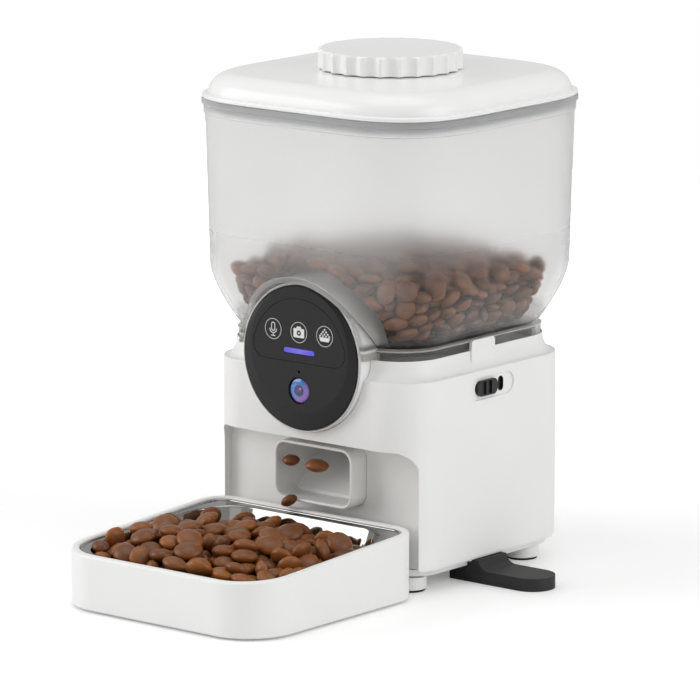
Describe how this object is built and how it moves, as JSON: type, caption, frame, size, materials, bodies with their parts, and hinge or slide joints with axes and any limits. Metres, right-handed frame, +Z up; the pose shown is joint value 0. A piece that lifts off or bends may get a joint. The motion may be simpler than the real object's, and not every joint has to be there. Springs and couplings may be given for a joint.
{
  "type": "camera pet feeder",
  "caption": "Automatic pet feeder: square food tank with twist-knob lid on a base with camera pod, rotor, chute, sloped tray and steel bowl.",
  "frame": {"origin": "middle of the bounding box on the floor, under the front part of the base", "axes": "+Z up, -Y towards the animal (tray side), +X to the feeder's right seen from the front"},
  "size_m": [0.2528, 0.3164, 0.3165],
  "materials": {
    "white_abs": "satin moulded ABS",
    "lid_abs": "satin moulded ABS",
    "frosted_tank": "translucent smoked polystyrene",
    "black_gloss": "glossy black polycarbonate",
    "black_matte": "fine-textured black ABS",
    "clear_ring": "clear polycarbonate",
    "polished_steel": "polished stainless steel",
    "plated_steel": "zinc-plated steel",
    "rubber": "black rubber",
    "silicone": "grey silicone",
    "circuit_board": "green solder mask",
    "acetal": "natural acetal",
    "light_bar": "violet light guide",
    "lens": "coated glass",
    "cell_sleeve": "printed sleeve, bare",
    "paper": "non-woven paper"
  },
  "bodies": {
    "base": {"base_housing": "white_abs", "base_bottom_plate": "white_abs", "base_screw_1": "plated_steel", "base_screw_2": "plated_steel", "base_screw_3": "plated_steel", "base_screw_4": "plated_steel", "foot_front_left": "white_abs", "foot_front_right": "white_abs", "foot_rear_left": "white_abs", "foot_rear_right": "white_abs", "foot_pad_front_left": "rubber", "foot_pad_front_right": "rubber", "foot_pad_rear_left": "rubber", "foot_pad_rear_right": "rubber", "battery_bay": "white_abs", "battery_cell_1": "cell_sleeve", "battery_cell_2": "cell_sleeve", "battery_cell_3": "cell_sleeve", "battery_contacts_front": "plated_steel", "battery_contacts_rear": "plated_steel", "rotor_chamber": "white_abs", "chamber_baffle": "white_abs", "gear_motor": "plated_steel", "motor_bracket": "plated_steel", "food_chute": "white_abs", "level_sensor": "black_matte", "camera_pod": "white_abs", "pod_trim_ring": "clear_ring", "camera_faceplate": "black_gloss", "key_panel": "black_gloss", "status_light_bar": "light_bar", "lens_barrel": "black_gloss", "lens_glass": "lens", "microphone": "plated_steel", "camera_board": "circuit_board", "power_inlet": "black_matte", "main_board": "circuit_board", "speaker": "black_matte"},
    "hopper": {"hopper_tank": "frosted_tank"},
    "lid": {"hopper_lid": "lid_abs", "lid_gasket": "silicone", "desiccant_cup": "white_abs", "desiccant_bag": "paper"},
    "knob": {"lid_knob": "lid_abs"},
    "rotor": {"rotor_hub": "acetal", "rotor_blades": "silicone", "drive_gear": "acetal"},
    "pinion": {"motor_pinion": "acetal"},
    "lock": {"lock_slider": "black_matte"},
    "right_stabiliser": {"stabiliser_right": "black_matte"},
    "left_stabiliser": {"stabiliser_left": "black_matte"},
    "door": {"battery_door": "white_abs"},
    "talk": {"talk_key": "black_gloss"},
    "picture": {"camera_key": "black_gloss"},
    "feed": {"feed_key": "black_gloss"},
    "tray": {"feeding_tray": "white_abs", "tray_pad_left": "rubber", "tray_pad_right": "rubber"},
    "bowl": {"steel_bowl": "polished_steel"}
  },
  "joints": [
    {"name": "hopper_lift", "type": "slide", "parent": "base", "child": "hopper", "axis": [0, 0, 1], "range_m": [0, 0.12]},
    {"name": "lid_lift", "type": "slide", "parent": "hopper", "child": "lid", "axis": [0, 0, 1], "range_m": [0, 0.06]},
    {"name": "knob_twist", "type": "hinge", "parent": "lid", "child": "knob", "pos_m": [0, 0.0632, 0.304], "axis": [0, 0, 1], "range_deg": [0, 60]},
    {"name": "rotor_spin", "type": "hinge", "parent": "base", "child": "rotor", "pos_m": [0, 0.0632, 0.11], "axis": [0, 0, 1], "continuous": true},
    {"name": "pinion_spin", "type": "hinge", "parent": "base", "child": "pinion", "pos_m": [0, 0.08955, 0.0868], "axis": [0, 0, 1], "continuous": true},
    {"name": "lock_slide", "type": "slide", "parent": "base", "child": "lock", "axis": [0, 1, 0], "range_m": [0, 0.0075]},
    {"name": "right_stabiliser_slide", "type": "slide", "parent": "base", "child": "right_stabiliser", "axis": [-1, 0, 0], "range_m": [0, 0.044]},
    {"name": "left_stabiliser_slide", "type": "slide", "parent": "base", "child": "left_stabiliser", "axis": [1, 0, 0], "range_m": [0, 0.044]},
    {"name": "door_slide", "type": "slide", "parent": "base", "child": "door", "axis": [0, 1, 0], "range_m": [0, 0.05]},
    {"name": "talk_press", "type": "slide", "parent": "base", "child": "talk", "axis": [0, 1, 0], "range_m": [0, 0.0008], "stiffness_N_per_m": 500},
    {"name": "picture_press", "type": "slide", "parent": "base", "child": "picture", "axis": [0, 1, 0], "range_m": [0, 0.0008], "stiffness_N_per_m": 500},
    {"name": "feed_press", "type": "slide", "parent": "base", "child": "feed", "axis": [0, 1, 0], "range_m": [0, 0.0008], "stiffness_N_per_m": 500},
    {"name": "tray_pull", "type": "slide", "parent": "base", "child": "tray", "axis": [0, -1, 0], "range_m": [0, 0.06]},
    {"name": "bowl_lift", "type": "slide", "parent": "tray", "child": "bowl", "axis": [0, 0, 1], "range_m": [0, 0.04]}
  ],
  "couplings": [
    {"joint": "pinion_spin", "follows": "rotor_spin", "ratio": -3.3333}
  ]
}
